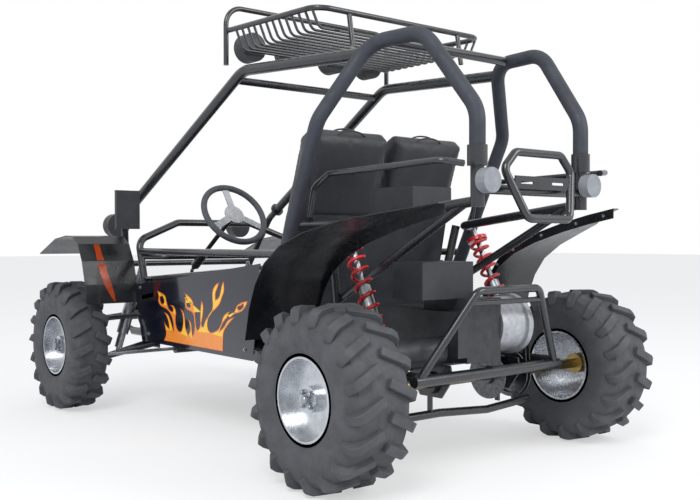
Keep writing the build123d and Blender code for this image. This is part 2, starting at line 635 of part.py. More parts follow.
def small_parts():
    """Mirrors, headlamps, pedals, tank and plate bracket."""
    put("headlamps", both(rod((1050, 345, 822), (1110, 345, 822), 112)))
    put("mirrors", both(block(638, 656, 440, 550, 800, 968)))
    put("fuel_tank", block(-860, -640, 20, 200, 830, 930))
    bar = block(PLATE_X, PLATE_X + 4, -PLATE_HALF, PLATE_HALF, PLATE_Z - 20, PLATE_Z + 20)
    for y in (-PLATE_SLOT_PITCH / 2, PLATE_SLOT_PITCH / 2):
        slot = Plane(origin=(PLATE_X, y, PLATE_Z), z_dir=(1, 0, 0), x_dir=(0, 1, 0)) * SlotOverall(60, 8)
        bar = bar - extrude(slot, amount=10, both=True)
    put("plate_bracket", cope(bar, TAIL_LOOP, other_side(TAIL_LOOP)))


def build():
    """Make every node and write its file."""
    for make in (rear_wheels, front_wheels, lower_frame, cage, nose_frame, rear_frame, rear_arm, guard,
                 engine, rear_shocks, seats, steering, front_suspension, bodywork, roof_rack, racks,
                 small_parts):
        make()
    os.makedirs("parts", exist_ok=True)
    for node, solids in NODES.items():
        export_step(Compound(solids), f"parts/{node}.step")


build()
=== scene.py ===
import bpy
import bmesh
import json
from math import cos, pi, radians, sin, sqrt
from mathutils import Matrix, Vector


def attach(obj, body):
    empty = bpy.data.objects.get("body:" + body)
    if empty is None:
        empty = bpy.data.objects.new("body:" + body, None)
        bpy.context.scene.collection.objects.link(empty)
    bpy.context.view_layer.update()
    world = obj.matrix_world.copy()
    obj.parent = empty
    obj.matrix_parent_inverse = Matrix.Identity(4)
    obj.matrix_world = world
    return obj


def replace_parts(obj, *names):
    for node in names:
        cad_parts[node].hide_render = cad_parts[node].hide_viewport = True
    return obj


# Two-seat off-road go-kart: finishes and fine pieces around the fixed model, in metres.

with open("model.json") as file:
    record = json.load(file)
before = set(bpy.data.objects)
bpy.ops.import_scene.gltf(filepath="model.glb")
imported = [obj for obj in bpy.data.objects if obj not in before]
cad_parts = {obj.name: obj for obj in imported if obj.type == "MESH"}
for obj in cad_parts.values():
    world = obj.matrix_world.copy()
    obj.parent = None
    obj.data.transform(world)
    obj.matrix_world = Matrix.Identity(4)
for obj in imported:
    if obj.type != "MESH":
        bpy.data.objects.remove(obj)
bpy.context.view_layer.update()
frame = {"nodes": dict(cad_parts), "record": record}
nodes = frame["nodes"]


# Camera, solved from the wheels' outlines, for a picture of 700 x 500
cameraFix = {
    "place": (-3.087, 2.2863, 0.7513),
    "forward": (0.7746, -0.6323, -0.0110),
    "roll": radians(-0.06),
    "lens": 47.32,
}


def link(piece):
    bpy.context.scene.collection.objects.link(piece)
    return piece


def makeCamera(fix):
    data = bpy.data.cameras.new("camera")
    data.lens = fix["lens"]
    data.sensor_width = 36.0
    data.sensor_fit = "HORIZONTAL"
    data.clip_end = 200.0
    camera = link(bpy.data.objects.new("camera", data))
    turn = Vector(fix["forward"]).to_track_quat("-Z", "Y").to_matrix()
    turn = turn @ Matrix.Rotation(fix["roll"], 3, "Z")
    camera.matrix_world = Matrix.Translation(fix["place"]) @ turn.to_4x4()
    bpy.context.scene.camera = camera


makeCamera(cameraFix)
print("camera set")


# Node and colour helpers
def linearColour(hexText):
    channels = [int(hexText[i:i + 2], 16) / 255 for i in (1, 3, 5)]
    return [c / 12.92 if c <= 0.04045 else ((c + 0.055) / 1.055) ** 2.4 for c in channels] + [1.0]


# given: an input's name or number with its value or socket, or a node's setting
def addNode(tree, kind, given):
    node = tree.nodes.new("ShaderNode" + kind)
    for key, value in given.items():
        if key == "stops":
            ramp = node.color_ramp.elements
            while len(ramp) < len(value):
                ramp.new(0.5)
            for stop, (place, hexText) in zip(ramp, value):
                stop.position = place
                stop.color = linearColour(hexText)
            continue
        if isinstance(key, str) and key not in node.inputs:
            setattr(node, key, value)
            continue
        socket = node.inputs[key]
        if isinstance(value, bpy.types.NodeSocket):
            tree.links.new(value, socket)
        else:
            socket.default_value = value
    return node


# Colour drifts between two close tones, roughness drifts on its own, and a grain gives the bump
def makeFinish(name, look):
    material = bpy.data.materials.new(name)
    material.use_nodes = True
    tree = material.node_tree
    tree.nodes.clear()
    spot = addNode(tree, "TexCoord", {}).outputs["Object"]
    patch = addNode(tree, "TexNoise", {
        "Vector": spot, "Scale": 1000 / look["patchMm"], "Detail": 5.0, "Roughness": 0.62})
    colour = addNode(tree, "ValToRGB", {
        "Fac": patch.outputs["Fac"], "stops": [(0.36, look["base"]), (0.66, look["second"])]})
    drift = addNode(tree, "TexNoise", {"Vector": spot, "Scale": 1000 / look["driftMm"], "Detail": 3.0})
    rough = addNode(tree, "MapRange", {
        "Value": drift.outputs["Fac"], "From Min": 0.32, "From Max": 0.68,
        "To Min": look["rough"][0], "To Max": look["rough"][1]})
    grainScale = 1000 / look["grainMm"]
    if look.get("cells"):
        grain = addNode(tree, "TexVoronoi", {"Vector": spot, "Scale": grainScale}).outputs["Distance"]
    else:
        grain = addNode(tree, "TexNoise", {"Vector": spot, "Scale": grainScale, "Detail": 2.0}).outputs["Fac"]
    bump = addNode(tree, "Bump", {"Height": grain, "Distance": look["heightMm"] / 1000, "Strength": 0.5})
    skin = addNode(tree, "BsdfPrincipled", {
        "Base Color": colour.outputs["Color"], "Roughness": rough.outputs["Result"], "Normal": bump.outputs["Normal"],
        "Metallic": look.get("metallic", 0.0), "Coat Weight": look.get("coat", 0.0),
        "Coat Roughness": look.get("coatRough", 0.05), "Sheen Weight": look.get("sheen", 0.0)})
    if look.get("ior"):
        skin.inputs["IOR"].default_value = look["ior"]
    addNode(tree, "OutputMaterial", {"Surface": skin.outputs["BSDF"]})
    return material


# Finishes by the record's slot; each starts from the real material
finishLooks = {
    # vulcanised rubber, moulded: greyish black, matt, faint bloom
    "tyre_rubber": ("vulcanisedRubber", {
        "base": "#3d3f42", "second": "#4a4c50", "patchMm": 60, "driftMm": 25, "rough": (0.62, 0.8),
        "grainMm": 2.2, "heightMm": 0.25, "cells": True, "ior": 1.52}),
    # cast alloy, machined on the face: bright, fine turning lines under a clear coat
    "machined_alloy": ("machinedAluminium", {
        "base": "#c9ccd0", "second": "#b4b7bc", "patchMm": 40, "driftMm": 12, "rough": (0.2, 0.34),
        "grainMm": 1.2, "heightMm": 0.03, "metallic": 1.0, "coat": 0.3}),
    # steel tube under gloss black powder coat: slight orange peel, soft sky reflections
    "black_frame": ("glossPowderCoat", {
        "base": "#1b1d21", "second": "#24262b", "patchMm": 90, "driftMm": 40, "rough": (0.22, 0.34),
        "grainMm": 2.4, "heightMm": 0.06, "ior": 1.5, "coat": 0.4, "coatRough": 0.12}),
    # closed-cell foam sleeve, skinned: matt blue-black
    "cage_foam": ("skinnedFoam", {
        "base": "#2c3038", "second": "#363a43", "patchMm": 70, "driftMm": 30, "rough": (0.55, 0.7),
        "grainMm": 1.6, "heightMm": 0.18, "cells": True, "ior": 1.48}),
    # upholstery vinyl: soft grain with a faint sheen
    "seat_vinyl": ("upholsteryVinyl", {
        "base": "#1e2024", "second": "#272a2f", "patchMm": 50, "driftMm": 18, "rough": (0.42, 0.58),
        "grainMm": 1.8, "heightMm": 0.16, "cells": True, "ior": 1.5, "sheen": 0.15}),
    # steel sheet in deep navy enamel: mirror-like
    "panel_navy": ("navyEnamel", {
        "base": "#080b18", "second": "#0b1020", "patchMm": 300, "driftMm": 120, "rough": (0.08, 0.15),
        "grainMm": 6.0, "heightMm": 0.04, "ior": 1.5, "coat": 0.6, "coatRough": 0.04}),
    # polypropylene moulding, glossy black
    "fender_black": ("glossPolypropylene", {
        "base": "#131417", "second": "#1b1d21", "patchMm": 160, "driftMm": 60, "rough": (0.2, 0.32),
        "grainMm": 3.0, "heightMm": 0.05, "ior": 1.49}),
    # ABS moulding with a spark-eroded texture
    "black_plastic": ("texturedAbs", {
        "base": "#232529", "second": "#2d3035", "patchMm": 60, "driftMm": 25, "rough": (0.42, 0.58),
        "grainMm": 1.4, "heightMm": 0.12, "ior": 1.53}),
    # spring steel in red powder coat
    "spring_red": ("redPowderCoat", {
        "base": "#b3121a", "second": "#c91d22", "patchMm": 30, "driftMm": 15, "rough": (0.25, 0.38),
        "grainMm": 2.0, "heightMm": 0.05, "ior": 1.5, "coat": 0.4}),
    # bright zinc-plated steel
    "damper_steel": ("zincPlate", {
        "base": "#a9adb2", "second": "#8f9499", "patchMm": 25, "driftMm": 10, "rough": (0.26, 0.4),
        "grainMm": 1.0, "heightMm": 0.03, "metallic": 1.0}),
    # yellow-passivated zinc: gold with green and rose drifts
    "zinc_gold": ("yellowPassivate", {
        "base": "#b79d62", "second": "#a08f66", "patchMm": 22, "driftMm": 10, "rough": (0.3, 0.45),
        "grainMm": 1.2, "heightMm": 0.04, "metallic": 1.0}),
    # sand-cast aluminium: pale, grainy
    "cast_alloy": ("castAluminium", {
        "base": "#b9bcc0", "second": "#9da0a5", "patchMm": 30, "driftMm": 12, "rough": (0.42, 0.58),
        "grainMm": 1.6, "heightMm": 0.25, "metallic": 0.85, "cells": True}),
    # cast aluminium under satin black engine enamel
    "black_casting": ("engineEnamel", {
        "base": "#202225", "second": "#2e3135", "patchMm": 40, "driftMm": 18, "rough": (0.42, 0.6),
        "grainMm": 1.8, "heightMm": 0.3, "cells": True, "ior": 1.5}),
    # oiled chain steel
    "chain_steel": ("oiledSteel", {
        "base": "#77797c", "second": "#57595c", "patchMm": 12, "driftMm": 6, "rough": (0.28, 0.42),
        "grainMm": 1.0, "heightMm": 0.03, "metallic": 1.0}),
    # ABS lamp housing, moulded: mid grey, even
    "lamp_grey": ("greyAbs", {
        "base": "#7d8186", "second": "#8c9095", "patchMm": 30, "driftMm": 15, "rough": (0.35, 0.5),
        "grainMm": 1.5, "heightMm": 0.08, "ior": 1.53}),
    # polyurethane foam grip: matt grey
    "grip_grey": ("polyurethaneGrip", {
        "base": "#3f4248", "second": "#4a4d54", "patchMm": 25, "driftMm": 12, "rough": (0.55, 0.7),
        "grainMm": 1.5, "heightMm": 0.15, "cells": True, "ior": 1.5}),
}
finishes = {slot: makeFinish(name, look) for slot, (name, look) in finishLooks.items()}

for part in frame["record"]["subparts"]:
    node = nodes[part["node"]]
    node.data.materials.clear()
    node.data.materials.append(finishes[part["material_slot"]])
print("finishes on", len(nodes), "nodes")


# Pieces of the scene, each riding on a body
def addPiece(name, mesh, body, slot, finish=None):
    piece = link(bpy.data.objects.new(name, mesh))
    mesh.materials.clear()
    mesh.materials.append(finish or finishes[slot])
    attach(piece, body)
    return piece


def meshOf(bm, name, smooth=True):
    bmesh.ops.recalc_face_normals(bm, faces=bm.faces)
    mesh = bpy.data.meshes.new(name)
    bm.to_mesh(mesh)
    bm.free()
    if smooth:
        mesh.shade_smooth()
    return mesh


# Makes a curve's mesh and removes the curve
def meshFromCurve(curve):
    holder = bpy.data.objects.new(curve.name, curve)
    mesh = bpy.data.meshes.new_from_object(holder)
    bpy.data.objects.remove(holder)
    bpy.data.curves.remove(curve)
    return mesh


# Tubes along smooth curves, as one mesh
def curveMesh(name, rows, bevel, kind="NURBS", closed=False, sides=4):
    curve = bpy.data.curves.new(name, "CURVE")
    curve.dimensions = "3D"
    curve.bevel_depth = bevel
    curve.bevel_resolution = sides
    curve.resolution_u = 6
    curve.use_fill_caps = True
    for row in rows:
        spline = curve.splines.new(kind)
        spline.points.add(len(row) - 1)
        for point, place in zip(spline.points, row):
            point.co = (*place, 1.0)
        if kind == "NURBS":
            spline.order_u = 4
            spline.use_endpoint_u = not closed
        spline.use_cyclic_u = closed
    mesh = meshFromCurve(curve)
    mesh.shade_smooth()
    return mesh


# Flames on the side panels: three flat shapes in a stack, each a little smaller.
# The outline and holes are in millimetres, face, layer and shrink in metres.
flameLook = {
    "face": 0.4592, "layer": 0.00025,
    "outline": (
        (382, 331), (362, 362), (369, 384), (381, 413), (358, 396), (335, 386), (340, 408), (357, 433), (381, 450),
        (346, 443), (327, 424), (311, 399), (299, 374), (299, 400), (311, 432), (334, 453), (365, 466), (408, 475),
        (430, 492), (428, 515), (440, 538), (400, 530), (368, 518), (357, 496), (345, 475), (326, 460), (303, 457),
        (303, 470), (334, 483), (292, 478), (277, 456), (281, 427), (274, 398), (255, 381), (236, 381), (225, 394),
        (218, 424), (225, 456), (247, 475), (214, 460), (203, 432), (196, 397), (178, 371), (160, 392), (167, 417),
        (178, 437), (153, 421), (146, 390), (140, 369), (128, 391), (128, 430), (138, 458), (160, 467), (192, 476),
        (203, 493), (201, 511), (225, 525), (195, 521), (213, 540), (174, 529), (145, 514), (131, 494), (124, 466),
        (117, 431), (110, 403), (100, 396), (84, 412), (82, 447), (79, 482), (71, 516), (58, 498), (58, 470),
        (65, 441), (69, 416), (58, 413), (41, 439), (14, 462), (-6, 480), (-13, 501), (-10, 529), (-13, 556),
        (-33, 579), (-63, 591), (-50, 568), (-36, 547), (-36, 524), (-59, 534), (-72, 559), (-82, 583), (-95, 597),
        (-98, 560), (-82, 532), (-66, 508), (-33, 485), (0, 466), (21, 441), (24, 416), (8, 397), (-32, 402),
        (-55, 412), (-75, 434), (-88, 458), (-111, 476), (-148, 485), (-129, 471), (-155, 476), (-173, 490),
        (-186, 507), (-222, 523), (-261, 529), (-252, 514), (-228, 493), (-198, 482), (-148, 471), (-104, 449),
        (-78, 424), (-68, 407), (-97, 425), (-123, 450), (-176, 467), (-148, 449), (-117, 426), (-94, 401),
        (-90, 374), (-87, 329)),
    "sharp": (0, 3, 5, 8, 12, 20, 26, 28, 38, 42, 45, 48, 56, 58, 65, 69, 74, 82, 85, 89, 103, 109, 116, 119, 124),
    "holes": (((408, 518), (383, 506), (380, 491), (396, 485), (412, 497)),
              ((181, 505), (163, 497), (159, 487), (174, 482), (188, 492)),
              ((-192, 501), (-216, 509), (-231, 515), (-219, 499), (-201, 494))),
    "layers": (("flameRed", "#c2401f", 0.0), ("flameOrange", "#ea8a2c", 0.0022), ("flameYellow", "#f3c327", 0.0052)),
}


def paintFinish(name, base, second):
    return makeFinish(name, {
        "base": base, "second": second, "patchMm": 50, "driftMm": 20, "rough": (0.2, 0.3),
        "grainMm": 3.0, "heightMm": 0.02, "ior": 1.5, "coat": 0.4})


# Flat filled shape from smooth outlines in X and Z, lying at y = 0
def flatShape(name, loops, sharp, shrink):
    curve = bpy.data.curves.new(name, "CURVE")
    curve.dimensions = "2D"
    curve.fill_mode = "BOTH"
    curve.resolution_u = 3
    curve.offset = -shrink
    for loop in loops:
        spline = curve.splines.new("BEZIER")
        spline.bezier_points.add(len(loop) - 1)
        spline.use_cyclic_u = True
        for index, (point, (x, z)) in enumerate(zip(spline.bezier_points, loop)):
            point.co = (x / 1000, z / 1000, 0)
            corner = loop is loops[0] and index in sharp
            point.handle_left_type = point.handle_right_type = "VECTOR" if corner else "AUTO"
    mesh = meshFromCurve(curve)
    mesh.transform(Matrix.Rotation(radians(90), 4, "X"))
    return mesh


def makeFlames(shape):
    loops = (shape["outline"],) + shape["holes"]
    for layer, (name, colour, shrink) in enumerate(shape["layers"]):
        paint = paintFinish(name, colour, colour)
        for side, label in ((1, "Left"), (-1, "Right")):
            mesh = flatShape(name + label, loops, shape["sharp"], shrink)
            mesh.transform(Matrix.Translation((0, -(shape["face"] + shape["layer"] * (layer + 1)), 0)))
            if side > 0:
                mesh.transform(Matrix.Scale(-1, 4, (0, 1, 0)))
            addPiece(name + label, mesh, "chassis", "panel_navy", paint)


makeFlames(flameLook)
print("flames laid")


# Strip of quads between two rows of points, with a wall
def quadStrip(name, rows, wall):
    bm = bmesh.new()
    first, second = [[bm.verts.new(point) for point in row] for row in rows]
    for k in range(len(first) - 1):
        bm.faces.new((first[k], first[k + 1], second[k + 1], second[k]))
    bmesh.ops.solidify(bm, geom=bm.faces[:], thickness=wall)
    return meshOf(bm, name, smooth=False)


# Blank labels at the front of the side panels
labelLook = {
    "face": 0.4595, "wall": 0.0003,
    "upperMm": ((580, 512), (476, 529)), "lowerMm": ((582, 494), (478, 510)),
}


def makeLabels(look):
    paint = paintFinish("blankLabel", "#c9cbd2", "#bfc1c9")
    for side, label in ((1, "Left"), (-1, "Right")):
        rows = [[(x / 1000, side * look["face"], z / 1000) for x, z in look[edge]] for edge in ("upperMm", "lowerMm")]
        addPiece("panelLabel" + label, quadStrip("panelLabel", rows, look["wall"]), "chassis", "panel_navy", paint)


# Orange stripes down the front fenders
stripeLook = {
    # x and z of the fender's outer skin and the stripe's half width, then its distance from the centre plane
    "pathMm": ((742.5, 733, 13), (705, 668, 16), (694, 640, 18), (676, 585, 18), (666, 550, 16), (657, 515, 11),
               (651, 486, 4)),
    "middleMm": (597, 595, 592, 584, 574, 563, 553), "proudMm": 1.2, "wall": 0.0006,
}


def makeStripes(look):
    paint = paintFinish("orangeStripe", "#d2541d", "#c94a18")
    for side, label in ((1, "Left"), (-1, "Right")):
        rows = [[((x - look["proudMm"]) / 1000, side * (y + edge * half) / 1000, z / 1000)
                 for (x, z, half), y in zip(look["pathMm"], look["middleMm"])] for edge in (1, -1)]
        strip = quadStrip("fenderStripe", rows, look["wall"])
        addPiece("fenderStripe" + label, strip, "chassis", "fender_black", paint)


makeLabels(labelLook)
makeStripes(stripeLook)
print("labels and stripes laid")


# Rear coil springs as real wire, closed up towards both ends, between two cups
springLook = {
    "foot": (-0.868, 0.322, 0.345), "top": (-0.648, 0.312, 0.800),  # of the left damper
    "coil": (0.165, 0.875), "mean": 0.0300, "wire": 0.0062, "turns": 9.5, "perTurn": 14,
    "closedEnd": 0.08, "closedShare": 0.25,
    "cups": (0.145, 0.895), "cupHalf": 0.0070, "cupRadius": 0.0385,
}


def coilPoints(look, foot, run):
    across = run.normalized().orthogonal().normalized()
    other = run.normalized().cross(across)
    low, high = look["coil"]
    count = int(look["turns"] * look["perTurn"])
    points = []
    for k in range(count + 1):
        t = k / count
        inner = min(1.0, max(0.0, (t - look["closedEnd"]) / (1 - 2 * look["closedEnd"])))
        eased = look["closedShare"] * (0.5 - 0.5 * cos(pi * inner)) + (1 - look["closedShare"]) * t
        angle = 2 * pi * look["turns"] * t
        points.append(foot + run * (low + (high - low) * eased)
                      + (across * cos(angle) + other * sin(angle)) * look["mean"])
    return points


def makeSprings(look):
    coils = []
    cups = []
    for side in (1, -1):
        foot, top = [Vector((x, side * y, z)) for x, y, z in (look["foot"], look["top"])]
        run = top - foot
        coils.append(coilPoints(look, foot, run))
        half = run.normalized() * look["cupHalf"]
        cups += [(foot + run * share - half, foot + run * share + half) for share in look["cups"]]
    for name, mesh in (("rearSpring", curveMesh("rearSpring", coils, look["wire"])),
                       ("rearSpringCups", curveMesh("rearSpringCups", cups, look["cupRadius"], kind="POLY", sides=8))):
        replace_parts(addPiece(name, mesh, "chassis", "spring_red"), "rear_springs")


makeSprings(springLook)
print("springs wound")


# Seats: padded vinyl over the shells, with sewn channels, piping and rimmed slots
seatLook = {
    "voxel": 0.0065, "relaxFactor": 0.6, "relaxSteps": 14,
    "frames": 20, "pressure": 4.0, "mass": 0.3, "swellCap": 0.006,
    # the back's plane: its foot and lean in X and Z, and each seat's distance from the centre plane
    "foot": (-0.282, 0.470), "lean": (-0.3, 0.954), "middle": 0.192, "thick": 0.045,
    "seatLine": 0.09, "shoulder": 0.5, "bolster": 0.118, "depth": 0.0045, "width": 0.007,
    "channels": (0.235, 0.33, 0.425), "cushionRows": (-0.14, -0.04, 0.05), "facing": (0.5, 0.6),
    "outlineMm": ((165, 6), (170, 200), (172, 450), (152, 530), (116, 596), (104, 650), (74, 700), (30, 716)),
    "piping": 0.0032, "pipingInset": 0.985, "pipingDepth": 0.004,
    "slotMiddle": (0.056, 0.566), "slotHalf": (0.031, 0.0135), "slotPoints": 12, "slotRim": 0.0035,
}


def bakeModifiers(piece):
    graph = bpy.context.evaluated_depsgraph_get()
    graph.update()
    mesh = bpy.data.meshes.new_from_object(piece.evaluated_get(graph))
    piece.modifiers.clear()
    piece.data = mesh
    return mesh


# Blows the skin up a little as cloth, with each point's move capped
def swell(piece, look):
    before = [vertex.co.copy() for vertex in piece.data.vertices]
    cloth = piece.modifiers.new("cloth", "CLOTH")
    cloth.settings.quality = 3
    cloth.settings.mass = look["mass"]
    cloth.settings.use_pressure = True
    cloth.settings.uniform_pressure_force = look["pressure"]
    cloth.settings.effector_weights.gravity = 0.0
    cloth.collision_settings.use_collision = False
    for count in range(1, look["frames"] + 1):
        bpy.context.scene.frame_set(count)
    mesh = bakeModifiers(piece)
    bpy.context.scene.frame_set(1)
    for vertex, start in zip(mesh.vertices, before):
        move = vertex.co - start
        if move.length > look["swellCap"]:
            vertex.co = start + move.normalized() * look["swellCap"]


# Foot of the back and the directions up its face and out of it
def backPlane(look):
    foot, lean = [Vector((x, 0, z)) for x, z in (look["foot"], look["lean"])]
    lean.normalize()
    return foot, lean, Vector((lean.z, 0, -lean.x))


# Presses stitched channels into the front of the back and the top of the cushion
def sewChannels(mesh, look):
    foot, lean, _ = backPlane(look)
    forward, upward = look["facing"]
    normals = [vertex.normal.copy() for vertex in mesh.vertices]
    for vertex, normal in zip(mesh.vertices, normals):
        place = vertex.co
        u = abs(abs(place.y) - look["middle"])
        along = (place - Vector((0, place.y, 0)) - foot).dot(lean)
        gaps = []
        if normal.x > forward and along > look["seatLine"]:
            gaps.append(abs(u - look["bolster"]) if along < look["shoulder"] else 1.0)
            if u < look["bolster"]:
                gaps += [abs(along - height) for height in look["channels"]]
        if normal.z > upward and along < look["seatLine"]:
            gaps.append(abs(u - look["bolster"]))
            if u < look["bolster"]:
                gaps += [abs(place.x - row) for row in look["cushionRows"]]
        near = min(gaps, default=1.0) / look["width"]
        if near < 3:
            vertex.co = place - normal * look["depth"] * 2.718 ** (-near * near)


def makeSeats(look):
    pad = link(bpy.data.objects.new("seatPads", nodes["seats"].data.copy()))
    remesh = pad.modifiers.new("remesh", "REMESH")
    remesh.mode = "VOXEL"
    remesh.voxel_size = look["voxel"]
    relax = pad.modifiers.new("relax", "SMOOTH")
    relax.factor = look["relaxFactor"]
    relax.iterations = look["relaxSteps"]
    bakeModifiers(pad)
    swell(pad, look)
    sewChannels(pad.data, look)
    pad.data.shade_smooth()
    pad.data.materials.clear()
    pad.data.materials.append(finishes["seat_vinyl"])
    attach(pad, "chassis")
    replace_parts(pad, "seats")


def trimSeats(look):
    foot, lean, out = backPlane(look)
    right = [(u / 1000, v / 1000) for u, v in look["outlineMm"]]
    ring = right + [(-u, v) for u, v in reversed(right)]
    centre, high = look["slotMiddle"]
    wide, tall = look["slotHalf"]
    turns = [2 * pi * k / look["slotPoints"] for k in range(look["slotPoints"])]
    lines = []
    rims = []
    for middle in (look["middle"], -look["middle"]):
        def onBack(u, v, depth):
            return foot + lean * v + Vector((0, middle + u, 0)) + out * depth
        for depth in (-look["pipingDepth"], look["pipingDepth"] - look["thick"]):
            lines.append([onBack(u * look["pipingInset"], v, depth) for u, v in ring])
        for side in (-centre, centre):
            for depth in (0.0, -look["thick"]):
                rims.append([onBack(side + wide * cos(turn), high + tall * sin(turn), depth) for turn in turns])
    addPiece("seatPiping", curveMesh("seatPiping", lines, look["piping"], sides=3), "chassis", "seat_vinyl")
    slots = curveMesh("seatSlotRims", rims, look["slotRim"], closed=True, sides=3)
    addPiece("seatSlotRims", slots, "chassis", "black_plastic")


makeSeats(seatLook)
trimSeats(seatLook)
print("seats padded")


# Bolts, nuts and washers, as one piece for each body.
# Each is a hexagon on a washer, and its last ring gives the chamfer.
boltShares = (
    # sides, lower and upper radius as shares of the hexagon's, height and middle as shares of the head's
    (16, 1.35, 1.35 * 0.96, 0.25, 0.125), (6, 1.0, 1.0, 0.8, 0.65), (12, 0.86, 0.7, 0.15, 1.12),
)


def addBolt(bm, place, direction, across, high):
    turn = Vector(direction).to_track_quat("Z", "Y").to_matrix().to_4x4()
    half = across / 2 / cos(pi / 6)
    for sides, low, top, deep, middle in boltShares:
        bmesh.ops.create_cone(
            bm, cap_ends=True, segments=sides, radius1=half * low, radius2=half * top, depth=high * deep,
            matrix=Matrix.Translation(place) @ turn @ Matrix.Translation((0, 0, high * middle)))


def boltPiece(name, rows, body):
    bm = bmesh.new()
    for row in rows:
        addBolt(bm, *row)
    addPiece(name, meshOf(bm, name, smooth=False), body, "damper_steel")


nutLook = {"count": 4, "circle": 0.027, "nut": (0.013, 0.010), "axleNut": (0.024, 0.016)}
nutTable = (
    # name, body, axle x and height, hub face distance from the centre plane, sides
    ("rearNuts", "rear_axle", -0.9125, 0.281, 0.673, (1, -1)),
    ("frontNutsLeft", "wheel_left", 0.9125, 0.284, 0.701, (1,)),
    ("frontNutsRight", "wheel_right", 0.9125, 0.284, 0.701, (-1,)),
)


def makeNuts(name, body, x, high, face, sides):
    rows = []
    for side in sides:
        for k in range(nutLook["count"]):
            turn = 2 * pi * (k + 0.5) / nutLook["count"]
            place = (x + nutLook["circle"] * cos(turn), side * face, high + nutLook["circle"] * sin(turn))
            rows.append((place, (0, side, 0), *nutLook["nut"]))
        rows.append(((x, side * face, high), (0, side, 0), *nutLook["axleNut"]))
    boltPiece(name, rows, body)


for row in nutTable:
    makeNuts(*row)

# Bolts through the mudguards' inner flanges and the side panels: x and z on the left side
panelBolts = {
    "flangeFace": 0.4049, "flangeSize": (0.009, 0.005), "panelFace": 0.4592, "panelSize": (0.010, 0.005),
    "flange": ((-0.640, 0.590), (-0.690, 0.655), (-0.770, 0.713), (-0.905, 0.767), (-1.060, 0.808), (-1.175, 0.833)),
    "panel": ((0.520, 0.350), (-0.240, 0.350), (0.600, 0.545), (-0.350, 0.640)),
}


def makePanelBolts(look):
    rows = []
    for side in (1, -1):
        rows += [((x, side * look["flangeFace"], z), (0, -side, 0), *look["flangeSize"]) for x, z in look["flange"]]
        rows += [((x, side * look["panelFace"], z), (0, side, 0), *look["panelSize"]) for x, z in look["panel"]]
    boltPiece("panelBolts", rows, "chassis")


makePanelBolts(panelBolts)
print("bolts set")


# Tyres: a carcass spun from its section, with slanted lugs in turn on each side
tyreTable = (
    # name, body, node, middle, radius, half width, half rim width
    ("treadRearLeft", "rear_axle", "rear_tyres", (-0.9125, 0.593, 0.281), 0.281, 0.125, 0.100),
    ("treadRearRight", "rear_axle", "rear_tyres", (-0.9125, -0.593, 0.281), 0.281, 0.125, 0.100),
    ("treadFrontLeft", "wheel_left", "front_tyre_left", (0.9125, 0.651, 0.284), 0.284, 0.092, 0.070),
    ("treadFrontRight", "wheel_right", "front_tyre_right", (0.9125, -0.651, 0.284), 0.284, 0.092, 0.070),
)
treadLook = {
    "lugs": 36, "thick": 0.030, "deep": 0.017, "slant": radians(26), "bevel": 0.0025, "steps": 96,
    "bead": (0.1278, 0.1388),  # inner radii of the rubber at the rim
    # the wall above the rim: a radius or a share of the tyre's, and how far in from the side
    "low": (0.150, 0.016), "widest": (0.7, 0.008),
    # the shoulder and the lugs' ends: below the base or the crown, and in from the side
    "shoulder": ((0.026, 0.016), (0.006, 0.034), (0.0, 0.056)),
    "lugFoot": ((0.044, 0.014), (0.030, 0.0)), "lugTop": ((0.010, 0.010), (0.0, 0.032)),
    "lugMiddle": 0.006, "lugSunk": 0.008,
}
sharpTurn = radians(32)  # edges that turn more are drawn sharp


# Face through a loop of (radius, sideways) points in the plane across the tyre
def sectionFace(bm, loop, along):
    return bm.faces.new([bm.verts.new((along, side, radius)) for radius, side in loop])


def addCarcass(bm, base, radius, half, rimHalf):
    look = treadLook
    low, lowIn = look["low"]
    share, wideIn = look["widest"]
    wall = [(r, rimHalf) for r in look["bead"]] + [(low, half - lowIn), (share * radius, half - wideIn)]
    wall += [(base - drop, half - inset) for drop, inset in look["shoulder"]]
    face = sectionFace(bm, wall + [(r, -side) for r, side in reversed(wall)], 0.0)
    bmesh.ops.spin(bm, geom=face.edges[:], cent=(0, 0, 0), axis=(0, 1, 0), dvec=(0, 0, 0),
                   angle=2 * pi, steps=look["steps"], use_duplicate=False)
    bmesh.ops.delete(bm, geom=[face], context="FACES_ONLY")
    bmesh.ops.remove_doubles(bm, verts=bm.verts[:], dist=0.00005)


# One lug on a side of the tread, turned by its step round the tyre
def addLug(bm, base, crown, half, side, turn):
    look = treadLook
    lug = [(base - drop, half - inset) for drop, inset in look["lugFoot"]]
    lug += [(crown - drop, half - inset) for drop, inset in look["lugTop"]]
    lug += [(crown, look["lugMiddle"]), (base - look["lugSunk"], look["lugMiddle"])]
    front = sectionFace(bm, [(r, side * s) for r, s in lug], -look["thick"] / 2)
    pushed = bmesh.ops.extrude_face_region(bm, geom=[front])["geom"]
    back = [item for item in pushed if isinstance(item, bmesh.types.BMVert)]
    bmesh.ops.translate(bm, verts=back, vec=(look["thick"], 0, 0))
    edges = dict.fromkeys(edge for vert in back + front.verts[:] for edge in vert.link_edges)
    rounded = bmesh.ops.bevel(bm, geom=list(edges), offset=look["bevel"], segments=1, profile=0.5,
                              affect="EDGES", material=-1, clamp_overlap=True)
    verts = list(dict.fromkeys(vert for face in rounded["faces"] for vert in face.verts))
    slant = Matrix.Rotation(side * look["slant"], 3, "Z")
    bmesh.ops.rotate(bm, verts=verts, cent=(0, side * half / 2, 0), matrix=slant)
    bmesh.ops.rotate(bm, verts=verts, cent=(0, 0, 0), matrix=Matrix.Rotation(turn, 3, "Y"))


